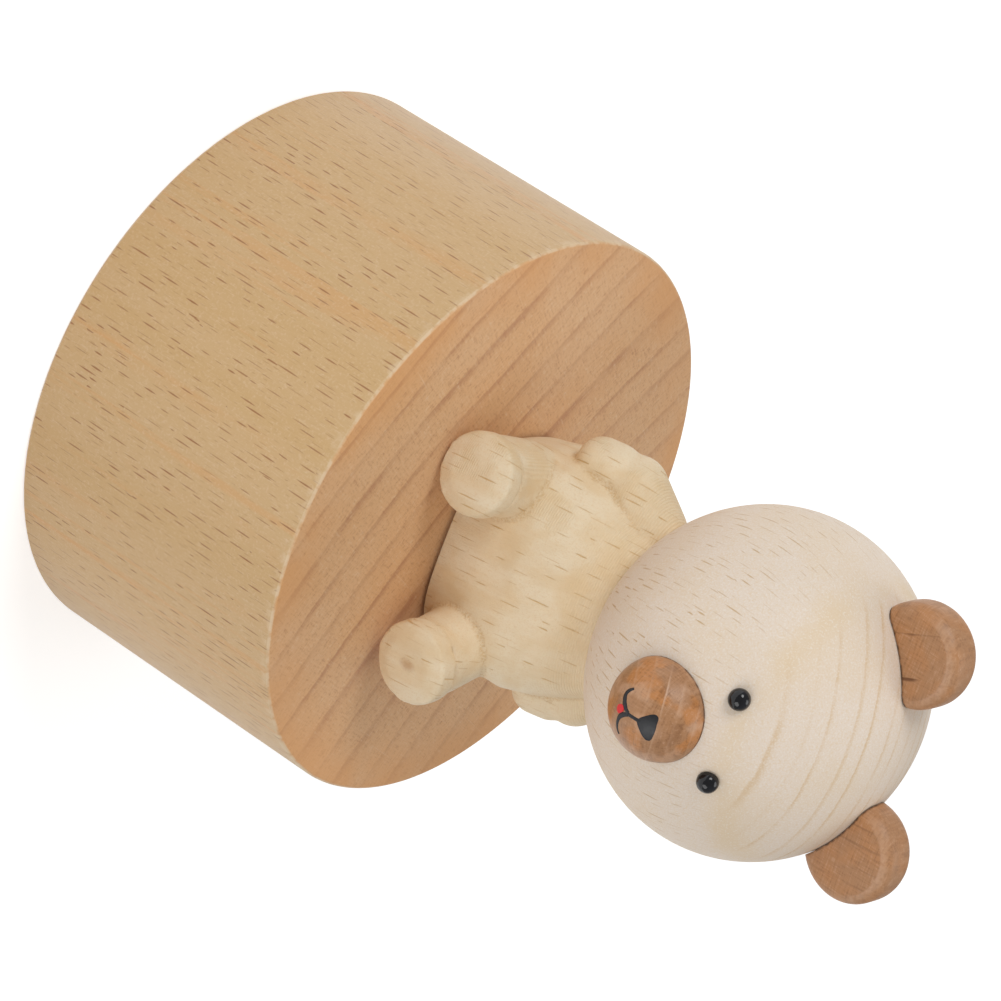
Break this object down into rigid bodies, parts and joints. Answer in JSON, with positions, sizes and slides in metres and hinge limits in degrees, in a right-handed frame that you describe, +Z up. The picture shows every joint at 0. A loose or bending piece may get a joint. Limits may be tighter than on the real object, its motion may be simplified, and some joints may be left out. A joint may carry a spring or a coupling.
{
  "type": "wooden music box",
  "caption": "Round wooden music box with a seated bear that turns on the winding arbor of a spring movement with pinned drum, comb and governor.",
  "frame": {"origin": "centre of the base's underside, on the axis of the base and of the winding arbor", "axes": "+Z up along the winding arbor, -Y the way the bear faces, +X along the drum from the arbor outwards"},
  "size_m": [0.0754, 0.0754, 0.1091],
  "materials": {
    "beech": "turned and sanded beech, clear matt",
    "maple": "carved pale wood, unfinished",
    "head_maple": "turned pale wood, sanded",
    "stained_wood": "brown stain, slight sheen",
    "black_bead": "gloss",
    "steel": "plain",
    "blued_steel": "tempered",
    "brass": "plain",
    "cast_plate": "cast, plated",
    "nylon": "natural"
  },
  "bodies": {
    "base": {"base_shell": "beech", "bottom_cover": "beech", "cover_screw_1": "steel", "cover_screw_2": "steel", "cover_screw_3": "steel", "bedplate": "cast_plate", "bedplate_screw_1": "steel", "bedplate_screw_2": "steel", "bedplate_screw_3": "steel", "spring_case": "steel", "spring_case_cover": "steel", "case_screw_1": "steel", "case_screw_2": "steel", "mainspring": "blued_steel", "drum_bearing_inner": "brass", "drum_bearing_outer": "brass", "comb": "steel", "comb_screw_1": "steel", "comb_screw_2": "steel", "governor_bracket": "cast_plate", "bracket_screw_1": "steel", "bracket_screw_2": "steel", "idler_post": "steel", "spindle_bush": "nylon"},
    "figure": {"winding_arbor": "steel", "arbor_clip": "steel", "ratchet_wheel": "brass", "threaded_insert": "brass", "bear_body": "maple", "neck_dowel": "beech", "bear_head": "head_maple", "ear_left": "stained_wood", "ear_right": "stained_wood", "muzzle": "stained_wood", "eye_left": "black_bead", "eye_right": "black_bead"},
    "drive": {"drive_gear": "nylon", "ratchet_pawl": "steel"},
    "drum": {"drum": "brass", "drum_shaft": "steel", "drum_pinion": "brass", "drum_gear": "brass"},
    "idler": {"idler_gear": "brass"},
    "governor": {"governor_shaft": "steel", "governor_pinion": "brass", "worm_wheel": "brass"},
    "fly": {"worm": "nylon", "fly": "nylon"}
  },
  "joints": [
    {"name": "figure_spin", "type": "hinge", "parent": "base", "child": "figure", "pos_m": [0, 0, 0], "axis": [0, 0, 1], "continuous": true},
    {"name": "drive_spin", "type": "hinge", "parent": "base", "child": "drive", "pos_m": [0, 0, 0], "axis": [0, 0, 1], "continuous": true},
    {"name": "drum_spin", "type": "hinge", "parent": "base", "child": "drum", "pos_m": [0, 0, 0.0212], "axis": [1, 0, 0], "continuous": true},
    {"name": "idler_spin", "type": "hinge", "parent": "base", "child": "idler", "pos_m": [0, 0.01088, 0.0212], "axis": [1, 0, 0], "continuous": true},
    {"name": "governor_spin", "type": "hinge", "parent": "base", "child": "governor", "pos_m": [0, 0.01636, 0.0212], "axis": [1, 0, 0], "continuous": true},
    {"name": "fly_spin", "type": "hinge", "parent": "base", "child": "fly", "pos_m": [0.0184, 0.02168, 0], "axis": [0, 0, 1], "continuous": true}
  ],
  "couplings": [
    {"joint": "drive_spin", "follows": "figure_spin", "ratio": 1},
    {"joint": "drum_spin", "follows": "figure_spin", "ratio": 2.6667},
    {"joint": "idler_spin", "follows": "figure_spin", "ratio": -5.3333},
    {"joint": "governor_spin", "follows": "figure_spin", "ratio": 10.667},
    {"joint": "fly_spin", "follows": "figure_spin", "ratio": -213.33}
  ]
}
